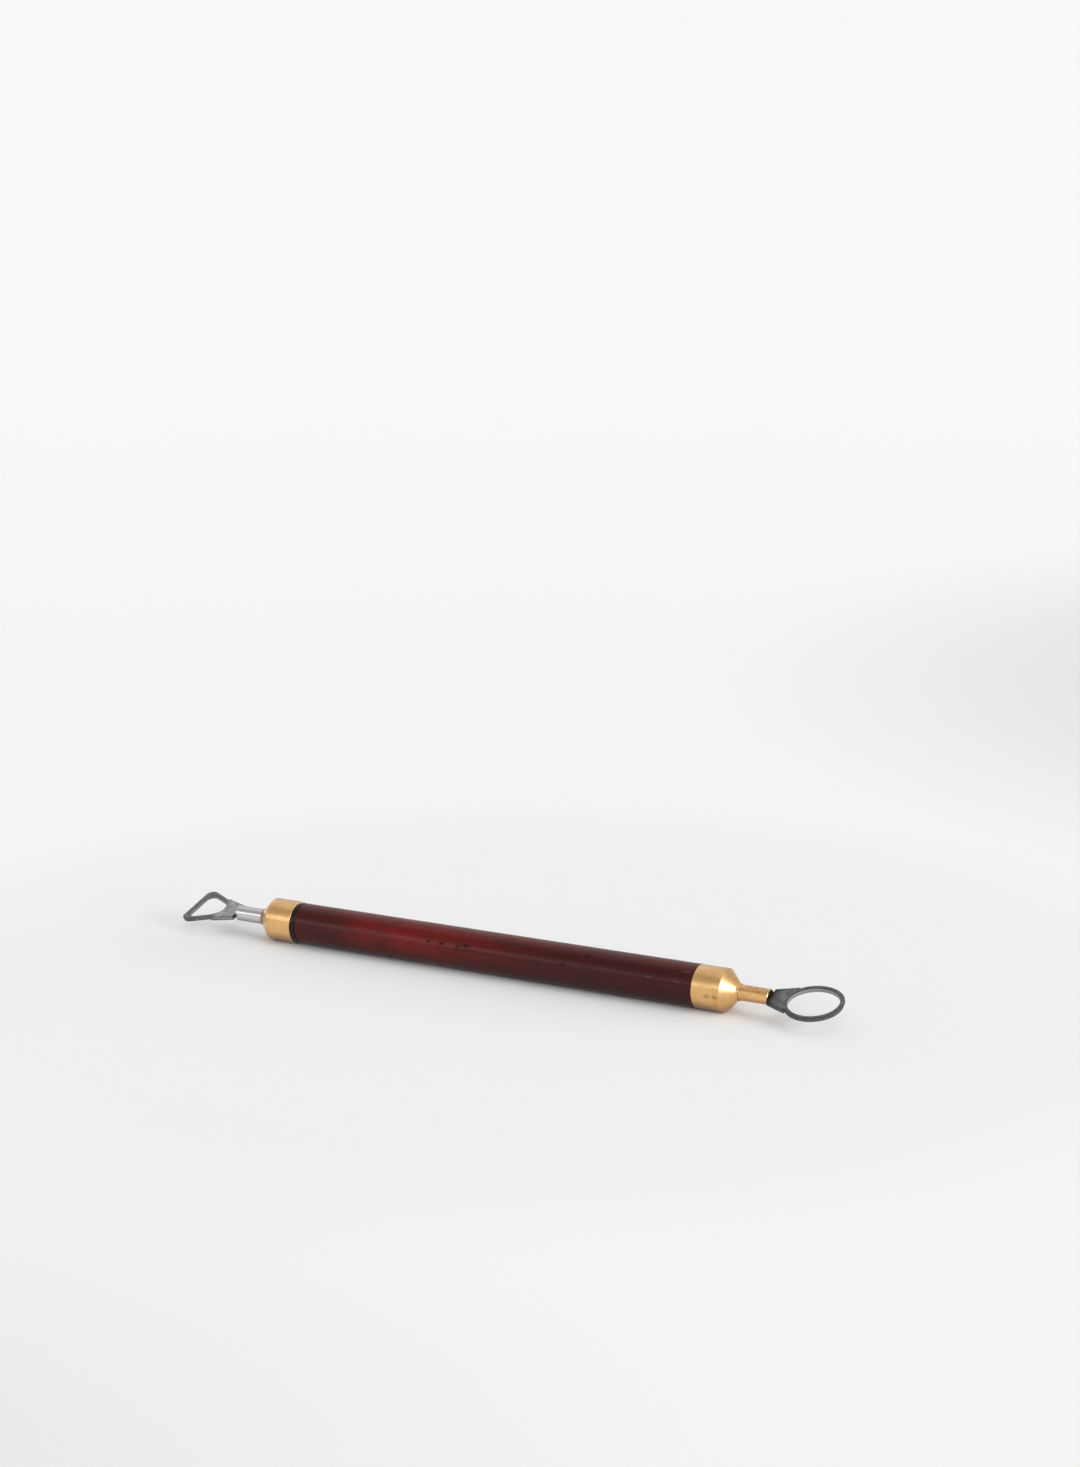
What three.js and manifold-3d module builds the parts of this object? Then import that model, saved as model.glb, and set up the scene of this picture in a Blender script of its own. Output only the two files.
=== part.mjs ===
// Double-ended pottery trimming tool.
// A turned hardwood handle has a brass ferrule on a tenon at each end. A round shank runs through
// each ferrule into the handle, and a mortise in its outer end holds a looped cutter cut from one
// plate.
// Millimetres. +X runs along the tool towards the round loop, +Z is up, and the tool lies on z = 0
// with its origin under the middle of its overall length.

import * as THREE from "three";
import { mergeVertices } from "three/addons/utils/BufferGeometryUtils.js";
import Module from "manifold-3d";

const solids = await Module();
solids.setup();

// Driving dimensions of the handle
const handleLength = 132.3; // between its two shoulders
const handleStepLeft = 0.6; // how much thinner than the ferrules the wood is at its left end
const handleEdgeRadius = 0.35;
const tenonReach = 7; // into a ferrule
const boreDepth = 28; // of the hole for a shank, from a shoulder

// Driving dimensions of the spacer ring at the left end
const spacerWidth = 1.6;

// Driving dimensions of the ferrules
const ferruleDiameter = 12.7;
const ferruleWall = 1.45; // brass round the tenon
const ferruleCylinder = 8.6;
const ferruleCone = 3.5;
const neckWall = 0.2; // brass round the shank at the ferrule's tip
const neckLength = 0.6;
const edgeBreak = 0.25; // on the rim that meets the handle
const coneEdgeRadius = 0.4; // between cylinder and cone

// Driving dimensions of the shanks
const shankDiameter = 4.6;
const shankReach = 9.2; // bare rod between a ferrule's tip and the rod's outer end
const shankChamfer = 0.35;
const mortiseDepth = 6; // in the outer end
const mortiseWall = 0.6; // beside the tongue

// Driving dimensions of both cutters
const plateThickness = 1.3;
const bevelWidth = 0.3; // ground off the outer edge of a loop, on its underside
const bevelHeight = 0.75;
const shoulderWidth = 6.8; // of the tang where it leaves the mortise
const flareCornerRadius = 0.35;
const cutterRoll = THREE.MathUtils.degToRad(15); // of both cutters about the tool's axis, as it lies

// Driving dimensions of the round cutter
const roundHoleDiameter = 14.9;
const roundBand = 1.28; // width of the ring
const roundBridge = 5.75; // from the shank's end to the hole
const roundFlareLength = 6.4;
const roundFlareWidth = 12.3;

// Driving dimensions of the triangular cutter
const triangleBand = 1.12;
const triangleBridge = 5.4;
const triangleRootRadius = 5; // of the hole, beside the tang
const triangleHoleLength = 9.35;
const triangleHalfAngle = THREE.MathUtils.degToRad(27);
const triangleHoleCornerRadius = 1.9;
const triangleOuterCornerRadius = 2;
const triangleFlareLength = 6.8;
const triangleFlareWidth = 11.2;

// Clearances
const glueGap = 0.1; // round a tenon or a shank, on the radius
const endGap = 0.3; // past the end of a tenon, a shank or a tongue
const brazeGap = 0.1; // round a tongue in its mortise

// Facets
const turnedSides = 32;
const arcSteps = 8;
const ringSteps = 36;

// Sizes that follow from the driving dimensions
const ferruleRadius = ferruleDiameter / 2;
const handleRadiusRight = ferruleRadius;
const handleRadiusLeft = ferruleRadius - handleStepLeft / 2;
const socketRadius = ferruleRadius - ferruleWall;
const tenonRadius = socketRadius - glueGap;
const socketDepth = tenonReach + endGap;
const shankRadius = shankDiameter / 2;
const shankHoleRadius = shankRadius + glueGap;
const neckRadius = shankHoleRadius + neckWall;
const ferruleLength = ferruleCylinder + ferruleCone + neckLength;
const mortiseWidth = 2 * (shankRadius - mortiseWall);
const mortiseThickness = plateThickness + 2 * brazeGap;
const roundHoleRadius = roundHoleDiameter / 2;
const roundCutterReach = roundBridge + roundHoleDiameter + roundBand;
const triangularCutterReach = triangleBridge + triangleHoleLength + triangleBand;
const endReach = ferruleLength + shankReach; // from a ferrule's rim to its shank's outer end

// Places along the tool: the overall length is centred on x = 0
const overallLength =
  triangularCutterReach + endReach + spacerWidth + handleLength + endReach + roundCutterReach;
const rightShoulder = overallLength / 2 - roundCutterReach - endReach;
const leftShoulder = rightShoulder - handleLength;
const leftRim = leftShoulder - spacerWidth;
const axisHeight = ferruleRadius * Math.cos(Math.PI / turnedSides); // a facet lies on the table

// A solid turned about the X axis, from a path of (distance along X, radius) that runs
// anticlockwise round the half section, seen with the radius upwards.
function turned(path) {
  const points = path.getPoints(arcSteps).map((point) => new THREE.Vector2(point.y, point.x));
  const profile = points.reverse(); // the lathe takes its outside from low to high
  const geometry = new THREE.LatheGeometry(profile, turnedSides, Math.PI / turnedSides);
  geometry.rotateZ(-Math.PI / 2);
  return geometry;
}

// The closed solid of a geometry, ready for a cut or a join.
function solidOf(geometry) {
  const bare = geometry.clone();
  bare.deleteAttribute("normal");
  bare.deleteAttribute("uv");
  const merged = mergeVertices(bare);
  const mesh = new solids.Mesh({
    numProp: 3,
    vertProperties: new Float32Array(merged.attributes.position.array),
    triVerts: new Uint32Array(merged.index.array),
  });
  return new solids.Manifold(mesh);
}

// A geometry with flat facets from a cut or joined solid.
function geometryOf(solid) {
  const mesh = solid.getMesh();
  const indexed = new THREE.BufferGeometry();
  indexed.setAttribute("position", new THREE.BufferAttribute(mesh.vertProperties, mesh.numProp));
  indexed.setIndex(new THREE.BufferAttribute(mesh.triVerts, 1));
  const geometry = indexed.toNonIndexed();
  geometry.computeVertexNormals();
  return geometry;
}

function named(name, geometry, material) {
  const mesh = new THREE.Mesh(geometry, material);
  mesh.name = name;
  return mesh;
}

// Handle: a tapered bar with a tenon and a blind bore at each end
function makeHandle() {
  const leftTenonEnd = leftRim - tenonReach;
  const rightTenonEnd = rightShoulder + tenonReach;
  const half = new THREE.Path();
  half.moveTo(rightShoulder - boreDepth, 0);
  half.lineTo(rightShoulder - boreDepth, shankHoleRadius);
  half.lineTo(rightTenonEnd, shankHoleRadius);
  half.lineTo(rightTenonEnd, tenonRadius);
  half.lineTo(rightShoulder, tenonRadius);
  half.lineTo(rightShoulder, handleRadiusRight - handleEdgeRadius);
  half.lineTo(rightShoulder - handleEdgeRadius, handleRadiusRight);
  half.lineTo(leftShoulder + handleEdgeRadius, handleRadiusLeft);
  half.lineTo(leftShoulder, handleRadiusLeft - handleEdgeRadius);
  half.lineTo(leftShoulder, tenonRadius);
  half.lineTo(leftTenonEnd, tenonRadius);
  half.lineTo(leftTenonEnd, shankHoleRadius);
  half.lineTo(leftShoulder + boreDepth, shankHoleRadius);
  half.lineTo(leftShoulder + boreDepth, 0);
  return turned(half);
}

// Spacer: a flat ring on the left tenon, flush with the wood
function makeSpacer() {
  const half = new THREE.Path();
  half.moveTo(leftRim, socketRadius);
  half.lineTo(leftShoulder, socketRadius);
  half.lineTo(leftShoulder, handleRadiusLeft);
  half.lineTo(leftRim, handleRadiusLeft);
  half.closePath();
  return turned(half);
}

// Ferrule: a cylinder, a cone and a short neck, with a socket for the tenon and a hole for the
// shank. Its rim is at x = 0 and its tip points along +X.
function makeFerrule() {
  const coneAngle = Math.atan2(ferruleRadius - neckRadius, ferruleCone);
  const roundingLength = coneEdgeRadius * Math.tan(coneAngle / 2);
  const half = new THREE.Path();
  half.moveTo(0, socketRadius);
  half.lineTo(socketDepth, socketRadius);
  half.lineTo(socketDepth, shankHoleRadius);
  half.lineTo(ferruleLength, shankHoleRadius);
  half.lineTo(ferruleLength, neckRadius);
  half.lineTo(ferruleCylinder + ferruleCone, neckRadius);
  half.lineTo(
    ferruleCylinder + roundingLength * Math.cos(coneAngle),
    ferruleRadius - roundingLength * Math.sin(coneAngle),
  );
  half.absarc(
    ferruleCylinder - roundingLength,
    ferruleRadius - coneEdgeRadius,
    coneEdgeRadius,
    Math.PI / 2 - coneAngle,
    Math.PI / 2,
    false,
  );
  half.lineTo(edgeBreak, ferruleRadius);
  half.lineTo(0, ferruleRadius - edgeBreak);
  half.closePath();
  return turned(half);
}

// Shank: a round rod with a mortise in its outer end at x = 0, running back through the ferrule
// into the handle's bore. Its length in the handle differs at the two ends by the spacer's width.
function makeShank(boreEnd) {
  const half = new THREE.Path();
  half.moveTo(0, 0);
  half.lineTo(0, shankRadius - shankChamfer);
  half.lineTo(-shankChamfer, shankRadius);
  half.lineTo(shankChamfer - boreEnd, shankRadius);
  half.lineTo(-boreEnd, shankRadius - shankChamfer);
  half.lineTo(-boreEnd, 0);
  const mortise = new THREE.BoxGeometry(2 * mortiseDepth, mortiseWidth, mortiseThickness);
  return geometryOf(solidOf(turned(half)).subtract(solidOf(mortise)));
}

// A flat plate from an outline, centred on z = 0.
function plate(outline, thickness, steps) {
  const geometry = new THREE.ExtrudeGeometry(outline, {
    depth: thickness,
    bevelEnabled: false,
    curveSegments: steps,
  });
  return solidOf(geometry.translate(0, 0, -thickness / 2));
}

// The same with its outer edge ground back on the underside.
function bevelledPlate(outline, steps) {
  const blank = new THREE.ExtrudeGeometry(outline, {
    depth: plateThickness,
    bevelEnabled: true,
    bevelThickness: bevelHeight,
    bevelSize: bevelWidth,
    bevelOffset: -bevelWidth,
    bevelSegments: 1,
    curveSegments: steps,
  });
  blank.translate(0, 0, bevelHeight - plateThickness / 2);
  blank.computeBoundingBox();
  const size = blank.boundingBox.getSize(new THREE.Vector3());
  const centre = blank.boundingBox.getCenter(new THREE.Vector3());
  const slab = new THREE.BoxGeometry(2 * size.x, 2 * size.y, plateThickness);
  slab.translate(centre.x, centre.y, 0);
  return solidOf(blank).intersect(solidOf(slab));
}

// Tang outline: a tongue in the mortise, two shoulders just clear of the shank's end, and a flare
// whose corners are rounded before they turn in towards the middle of the loop's hole.
function tangOutline(flareLength, flareWidth, holeMiddle) {
  const tongueHalf = mortiseWidth / 2 - brazeGap;
  const shoulderHalf = shoulderWidth / 2;
  const corner = new THREE.Vector2(flareLength, flareWidth / 2);
  const shoulder = new THREE.Vector2(endGap, shoulderHalf);
  const middle = new THREE.Vector2(holeMiddle, 0);
  const before = corner.clone().add(shoulder.clone().sub(corner).setLength(flareCornerRadius));
  const after = corner.clone().add(middle.clone().sub(corner).setLength(flareCornerRadius));
  const outline = new THREE.Shape();
  outline.moveTo(endGap - mortiseDepth, -tongueHalf);
  outline.lineTo(endGap, -tongueHalf);
  outline.lineTo(shoulder.x, -shoulder.y);
  outline.lineTo(before.x, -before.y);
  outline.quadraticCurveTo(corner.x, -corner.y, after.x, -after.y);
  outline.lineTo(middle.x, middle.y);
  outline.lineTo(after.x, after.y);
  outline.quadraticCurveTo(corner.x, corner.y, before.x, before.y);
  outline.lineTo(shoulder.x, shoulder.y);
  outline.lineTo(endGap, tongueHalf);
  outline.lineTo(endGap - mortiseDepth, tongueHalf);
  outline.closePath();
  return outline;
}

// One cutter: the tang joined to the bevelled loop, with the hole cut through both.
function makeCutter(tang, loop, hole, steps) {
  const holeCutter = plate(hole, 3 * plateThickness, steps);
  const body = plate(tang, plateThickness, arcSteps).add(bevelledPlate(loop, steps));
  return geometryOf(body.subtract(holeCutter));
}

function circle(x, radius) {
  const outline = new THREE.Shape();
  outline.absarc(x, 0, radius, 0, 2 * Math.PI, false);
  return outline;
}

function makeRoundCutter() {
  const middle = roundBridge + roundHoleRadius;
  const tang = tangOutline(roundFlareLength, roundFlareWidth, middle);
  const loop = circle(middle, roundHoleRadius + roundBand);
  return makeCutter(tang, loop, circle(middle, roundHoleRadius), ringSteps);
}

// A triangle with a round root towards the shank and two round corners at its flat far end.
// Its sides touch the root circle and lean out by the half angle.
function roundedTriangle(rootMiddle, rootRadius, end, cornerRadius) {
  const sine = Math.sin(triangleHalfAngle);
  const cosine = Math.cos(triangleHalfAngle);
  const cornerX = end - cornerRadius;
  const alongSide = (cornerX - rootMiddle + (rootRadius - cornerRadius) * sine) / cosine;
  const cornerY = (rootRadius - cornerRadius) * cosine + alongSide * sine;
  const tangent = Math.PI / 2 + triangleHalfAngle;
  const outline = new THREE.Shape();
  outline.absarc(cornerX, -cornerY, cornerRadius, -tangent, 0, false);
  outline.absarc(cornerX, cornerY, cornerRadius, 0, tangent, false);
  outline.absarc(rootMiddle, 0, rootRadius, tangent, 2 * Math.PI - tangent, false);
  outline.closePath();
  return outline;
}

function makeTriangularCutter() {
  const rootMiddle = triangleBridge + triangleRootRadius;
  const holeEnd = triangleBridge + triangleHoleLength;
  const tang = tangOutline(triangleFlareLength, triangleFlareWidth, rootMiddle);
  const loop = roundedTriangle(
    rootMiddle,
    triangleRootRadius + triangleBand,
    holeEnd + triangleBand,
    triangleOuterCornerRadius,
  );
  const hole = roundedTriangle(rootMiddle, triangleRootRadius, holeEnd, triangleHoleCornerRadius);
  return makeCutter(tang, loop, hole, arcSteps);
}

// Materials
const hardwood = new THREE.MeshStandardMaterial({ color: 0x4a201c, roughness: 0.4, metalness: 0 });
const blackRing = new THREE.MeshStandardMaterial({ color: 0x1d1514, roughness: 0.2, metalness: 0 });
const brass = new THREE.MeshStandardMaterial({ color: 0xd8a460, roughness: 0.3, metalness: 1 });
const steel = new THREE.MeshStandardMaterial({ color: 0xc4c4c4, roughness: 0.2, metalness: 1 });
const cutterMetal = new THREE.MeshStandardMaterial({
  color: 0x6e6e6e,
  roughness: 0.45,
  metalness: 1,
});

// One end of the tool: ferrule, shank and cutter, all pointing along +X from the ferrule's rim.
// The right end is set as drawn and the left end is turned half round, so the roll of the
// cutters changes sign to keep both in one plane.
function makeEnd(side, rim, inHandle, names, shankMaterial, cutterGeometry) {
  const end = new THREE.Group();
  end.position.set(rim, 0, axisHeight);
  end.rotation.z = side > 0 ? 0 : Math.PI;
  end.add(named(names.ferrule, makeFerrule(), brass));

  const seat = new THREE.Group();
  seat.position.x = endReach;
  seat.rotation.x = side * cutterRoll;
  seat.add(named(names.shank, makeShank(endReach + inHandle - endGap), shankMaterial));
  seat.add(named(names.cutter, cutterGeometry, cutterMetal));
  end.add(seat);
  return end;
}

const tool = new THREE.Group();

const grip = new THREE.Group();
grip.position.z = axisHeight;
grip.add(named("handle", makeHandle(), hardwood));
grip.add(named("spacer_ring", makeSpacer(), blackRing));
tool.add(grip);

const leftNames = { ferrule: "ferrule_left", shank: "shank_left", cutter: "cutter_triangular" };
tool.add(makeEnd(-1, leftRim, spacerWidth + boreDepth, leftNames, steel, makeTriangularCutter()));

const rightNames = { ferrule: "ferrule_right", shank: "shank_right", cutter: "cutter_round" };
tool.add(makeEnd(1, rightShoulder, boreDepth, rightNames, brass, makeRoundCutter()));

export default tool;
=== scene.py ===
"""Looks of a double-ended pottery trimming tool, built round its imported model.

Everything is in metres in the model's own frame: +X along the tool towards the round loop, +Z up,
the tool lying on z = 0. Names that end in _MM are in millimetres, as in the model's source, and
those that end in _TONE or _TONES are screen colours from 0 to 255.
"""

import math
import random

import bmesh
import bpy
from mathutils import Matrix, Vector, noise


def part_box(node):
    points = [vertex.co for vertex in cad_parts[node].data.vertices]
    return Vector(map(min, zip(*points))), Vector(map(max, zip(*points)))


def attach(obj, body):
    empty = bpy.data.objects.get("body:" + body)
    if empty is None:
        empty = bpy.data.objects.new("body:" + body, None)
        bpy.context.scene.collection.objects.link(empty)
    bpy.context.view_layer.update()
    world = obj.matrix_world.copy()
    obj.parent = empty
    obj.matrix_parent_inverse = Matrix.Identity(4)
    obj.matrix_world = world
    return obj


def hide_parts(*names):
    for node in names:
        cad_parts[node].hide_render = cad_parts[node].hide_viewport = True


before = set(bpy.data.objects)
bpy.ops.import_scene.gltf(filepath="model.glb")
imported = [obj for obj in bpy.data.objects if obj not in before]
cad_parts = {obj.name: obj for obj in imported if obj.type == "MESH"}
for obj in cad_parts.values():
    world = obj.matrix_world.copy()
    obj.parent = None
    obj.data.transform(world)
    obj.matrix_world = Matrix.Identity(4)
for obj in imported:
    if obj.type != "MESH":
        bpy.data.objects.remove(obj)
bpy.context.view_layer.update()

MM = 0.001
ROOT = "root"

# Sizes of the hidden fits and the turned details
GLUE_GAP_MM = 0.1
END_GAP_MM = 0.3
FERRULE_WALL_MM = 1.45
FERRULE_CYLINDER_MM = 8.6
FERRULE_CONE_MM = 3.5
FERRULE_RIM_ROUNDING_MM = 0.1
CONE_EDGE_ROUNDING_MM = 0.4
CONE_END_ROUNDING_MM = 0.25
NECK_RADIUS_MM = 2.6
TENON_REACH_MM = 7.0
HANDLE_STEP_LEFT_MM = 0.3  # the wood's radius at the left end is this much under the ferrule's
HANDLE_ROUNDING_MM = 0.35
RING_ROUNDING_MM = 0.3
SHANK_RADIUS_MM = 2.3
SHANK_CHAMFER_MM = 0.2
SHANK_FACE_ROUNDING_MM = 0.08
SHANK_SIDE_ROUNDING_MM = 0.12
MORTISE_DEPTH_MM = 6.0
MORTISE_WALL_MM = 0.6
BORE_DEPTH_MM = 28.0
TURNING_GROOVES_MM = (1.45, 0.54)  # before the edge of a ferrule's cone
GROOVE_WIDTH_MM = 0.3
GROOVE_DEPTH_MM = 0.05
GROOVE_ROUNDING_MM = 0.02

# Sizes of the cutters, from the outer end of a shank
PLATE_THICKNESS_MM = 1.3
BRAZE_GAP_MM = 0.1
SHOULDER_WIDTH_MM = 6.8
SHOULDER_GAP_MM = 0.12
SHOULDER_ROUNDING_MM = 0.12
TONGUE_ROUNDING_MM = 0.3
FLARE_ROUNDING_MM = 0.35
BEVEL_WIDTH_MM = 0.3
BEVEL_HEIGHT_MM = 0.75
SOFT_EDGE_MM = 0.06
SOFT_EDGE_MIDDLE = 0.3
RIM_MM = 0.32  # the rims' painted shade fades out over this width on the faces
WALL_RIM_MM = 0.15  # and over this height on the walls
CUTTER_ROLL = math.radians(15)
ROUND_BRIDGE_MM = 5.75
ROUND_HOLE_RADIUS_MM = 7.45
ROUND_BAND_MM = 1.28
ROUND_FLARE_MM = (6.4, 6.15)
TRIANGLE_BRIDGE_MM = 5.4
TRIANGLE_BAND_MM = 1.12
TRIANGLE_ROOT_RADIUS_MM = 5.0
TRIANGLE_HOLE_LENGTH_MM = 9.35
TRIANGLE_HALF_ANGLE = math.radians(27)
TRIANGLE_HOLE_CORNER_MM = 1.9
TRIANGLE_OUTER_CORNER_MM = 2.0
TRIANGLE_FLARE_MM = (6.8, 5.6)

# Steps up the bevel: the share of its width that is left, the share of its height, the rim's painted shade
BEVEL_STEPS = ((1.0, 0.0, 1.0), (0.7, 0.3, 0.2), (0.2, 0.8, 0.0), (0.0, 1.0, 0.5))

# Places along the tool and its axis, from the model
RIM_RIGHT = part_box("ferrule_right")[0].x
RIM_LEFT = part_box("ferrule_left")[1].x
FERRULE_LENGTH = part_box("ferrule_right")[1].x - RIM_RIGHT
SHOULDER_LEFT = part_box("spacer_ring")[1].x
SHANK_END_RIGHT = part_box("shank_right")[1].x
SHANK_END_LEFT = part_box("shank_left")[0].x
FERRULE_LOW, FERRULE_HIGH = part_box("ferrule_right")
FERRULE_RADIUS = (FERRULE_HIGH.z - FERRULE_LOW.z) / 2
AXIS_HEIGHT = (FERRULE_HIGH.z + FERRULE_LOW.z) / 2

# Fineness of the meshes
TURNED_SIDES = 160
SHANK_SIDES = 96
HANDLE_STATIONS = 420
ARC_STEPS = 5
FLARE_STEPS = 12
LOOP_STEPS = 96
TRIANGLE_ARC_STEPS = 16
ON_AXIS = 1e-9  # a smaller radius is a point on the axis
MERGE_DISTANCE = 0.0005 * MM
LONGEST_REACH = 0.49  # share of a side that one rounding may take
SHARPEST_CORNER = 0.5  # an inset corner moves at most by the width over this
SHARP_ANGLE = math.radians(50)
SHANK_SHARP_ANGLE = math.radians(35)

# Waviness of the wood, and its dents by place, angle, half length and depth, in millimetres and
# degrees. More dents are drawn at random.
PLAIN_END_MM = 1  # the wood is plain this close to its shoulders
WAVE_DEPTH_MM = 0.012
WAVES_ALONG = 60  # per metre
WAVES_AROUND = 0.7
DENT_HALF_WIDTH_MM = 0.45
DENTS = (
    (-21.66, 155.9, 0.9, 0.14),
    (-17.52, 158.9, 0.7, 0.12),
    (23.1, 163.1, 0.8, 0.1),
    (29.76, 128.5, 0.7, 0.1),
)
RANDOM_DENTS = 22
RANDOM_SEED = 7
RANDOM_HALF_LENGTHS_MM = (0.4, 1.0)
RANDOM_HALF_WIDTHS_MM = (0.25, 0.45)
RANDOM_DEPTHS_MM = (0.02, 0.05)

# Pale marks and pits of the wood by place, angle and radius, in millimetres and degrees. All are
# longer along the tool. Two pale marks are painted glints, and the pits are darkened with painted shade.
MARK_DEPTH_MM = 0.05
PALE_MARK_STRETCH = (0.5, 2.0, 2.0)
# The two pale marks at 158 and 160 degrees lie on the highlight's line and are painted glints.
PALE_MARKS_AND_GLINTS = (
    (-2.71, 105.8, 0.6),
    (50.34, 158.0, 0.7),
    (59.55, 160.3, 0.6),
    (61.59, 129.8, 1.0),
)
PIT_STRETCH = (0.7, 1.2, 1.2)
# Pits: dents whose colour is darkened with painted shade.
PITS = (
    (-21.7, 156.0, 0.9),
    (-17.5, 158.0, 1.0),
    (-12.0, 158.0, 0.8),
    (-9.3, 153.0, 1.0),
    (23.1, 163.0, 0.8),
    (29.8, 128.5, 0.7),
)

# Tones of the wood, and the stretches along it and up it over which they change
WOOD_TONES = ((70, 9, 8), (57, 7, 7))
WOOD_CHANGE_MM = (-10.0, 40.0)
RED_TONE = (103, 14, 9)
RED_RISE_MM = (-60.0, -38.0)
RED_FALL_MM = (-28.0, 16.0)
# The red stretch is the wood's own colour; its fading towards the bottom is painted shade.
RED_HEIGHT_MM = (1.0, 9.0)
# Painted light: the wood's top is paler where light falls on it.
WOOD_PAINTED_LIGHT_TONE = (100, 34, 29)
WOOD_PAINTED_LIGHT_MM = (11.0, 12.6)
# Painted shade: the wood darker towards the bottom.
WOOD_PAINTED_SHADE_TONE = (36, 5, 7)
WOOD_PAINTED_SHADE_MM = (0.5, 6.0)
PATCH_TONE = (44, 9, 12)
STREAK_TONE = (42, 9, 11)
FIBRE_TONE = (94, 27, 22)
PORE_TONE = (30, 10, 10)
# Tone of the pale marks and of the painted glints among them.
PALE_MARK_AND_GLINT_TONE = (160, 112, 100)
# Painted shade in the pits.
PIT_PAINTED_SHADE_TONE = (24, 8, 9)

# Tones of the ring and the ferrules. Stretches are from the cone's edge or up from the floor, and
# spots are given by place and radius in millimetres.
RING_TONES = ((14, 8, 7), (28, 17, 15))
TURNED_TONES = ((238, 191, 125), (228, 176, 106))
TURNING_TONE = (218, 166, 96)
GROOVE_TONE = (178, 126, 62)
GROOVE_FADE_MM = (0.08, 0.24)
# Painted shade on the left ferrule's cone and neck, by the share below.
CONE_PAINTED_SHADE_TONE = (164, 104, 48)
CONE_STRETCH_MM = (-0.3, 0.4)
NECK_PAINTED_SHADE_TONE = (150, 94, 44)
NECK_STRETCH_MM = (2.8, 3.6)
LEFT_CONE_PAINTED_SHADE = 0.6
# Painted shade on the ferrules' underside, darker towards the floor.
FERRULE_PAINTED_SHADE_TONE = (150, 104, 54)
FERRULE_PAINTED_SHADE_MM = (0.5, 4.5)
SPOT_STRETCH = (0.8, 1.3, 1.3)
SMUDGE_TONE = (120, 72, 32)
SMUDGES = (((68.9, -6.3, 5.7), 1.3), ((71.4, -6.3, 5.75), 1.2))

# Tones of the two rods. Stretches are up from the axis, or inwards from the end.
DRAWN_TONES = ((240, 190, 122), (224, 168, 98))
DRAWN_STREAK_TONE = (206, 142, 68)
HEAT_TONE = (112, 66, 30)
HEAT_HEIGHT_MM = (0.4, 1.9)
ROD_STAIN_TONE = (104, 84, 44)
ROD_STAINS = (((79.71, -0.6, 8.54), 1.2), ((81.85, -0.55, 8.55), 0.9), ((83.59, -0.3, 8.6), 0.8))
# Painted shade on the brass rod's underside.
BRASS_PAINTED_SHADE_TONE = (180, 126, 66)
BRASS_PAINTED_SHADE_MM = (-2.2, 0.4)
BRASS_END_TONE = (112, 90, 70)
BRASS_END_MM = (0.02, 0.12)
STEEL_TONES = ((208, 208, 209), (196, 196, 196))
# Painted shade on the steel rod's underside.
STEEL_PAINTED_SHADE_TONE = (150, 148, 146)
STEEL_PAINTED_SHADE_MM = (-2.2, -0.4)

# Tones of the cutters: two of the mottling, then the rims and the bores. The rims' tone is painted
# shade, and also darkens the front as painted shade; the bores' tone is painted light on their walls.
# Shades say how much darker the front and the loop are. The heat stain fades out over a stretch from
# the shank.
LEFT_TONES = ((178, 179, 180), (144, 144, 145), (48, 48, 50), (140, 140, 140))
LEFT_SHADES = (0.1, 0.5)
LEFT_STAIN_MM = (0.0, 0.5)
RIGHT_TONES = ((124, 126, 127), (92, 92, 94), (36, 37, 40), (186, 186, 186))
RIGHT_SHADES = (0.1, 0.1)
RIGHT_STAIN_MM = (0.0, 3.4)
CUTTER_STAIN_TONE = (38, 39, 43)
# Painted shade on the front, across this stretch.
CUTTER_FRONT_SHADE_MM = (-7.0, -3.0)
CUTTER_LOOP_MM = (5.0, 7.5)

# Light of the room and its rise towards the back left, by aim, cosine where it starts, and strength
ROOM_LIGHT = 0.6
ROOM_GLOW = ((-0.55, 0.6, 0.58), 0.5, 0.2)

# Softboxes by aim, half width and half height in degrees, softness of the edge, and strength. Those
# with a negative strength are dark screens.
SOFTBOXES = (
    ((0.934, -0.181, 0.309), 17, 12, 0.12, 7.0),
    ((0.34, -0.83, 0.44), 14, 10, 0.4, 3.0),
    ((0.35, -0.05, 0.93), 24, 24, 0.4, 0.6),
    ((0.76, 0.62, 0.17), 18, 8, 0.4, 6.5),
    ((-0.82, 0.48, 0.31), 14, 8, 0.4, 1.8),
    ((-0.58, -0.735, 0.355), 10.5, 8, 0.5, 1.25),
    ((-0.5, -0.84, 0.2), 25, 12, 0.5, 0.15),
    ((-0.47, -0.36, 0.81), 20, 10, 0.4, -0.15),
    ((-0.45, 0.87, 0.2), 18, 12, 0.4, -0.2),
    ((0.35, 0.78, 0.5), 30, 20, 0.4, -0.1),
)

# Floor: its brightness near the tool, round it and far off, the stretches over which that changes, and
# shades by place and radii in millimetres and by depth. All of it is painted shade that darkens the
# floor near the tool and in two patches.
FLOOR_RADIUS = 40.0
FLOOR_SIDES = 64
FLOOR_ROUGHNESS = 0.9
FAR_FLOOR_LIGHT = 0.96
# Painted shade: the floor is darker near the tool than round it and far off.
FLOOR_BRIGHTNESS = (0.81, 0.848, 0.882)
FLOOR_ROUND_MM = (140.0, 240.0)
FLOOR_FAR_MM = (300.0, 1300.0)
FLOOR_PAINTED_SHADES = (
    ((200.0, 550.0, 0.0), 150.0, 400.0, 0.12),
    ((0.0, -450.0, 0.0), 0.0, 330.0, 0.12),
)

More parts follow.
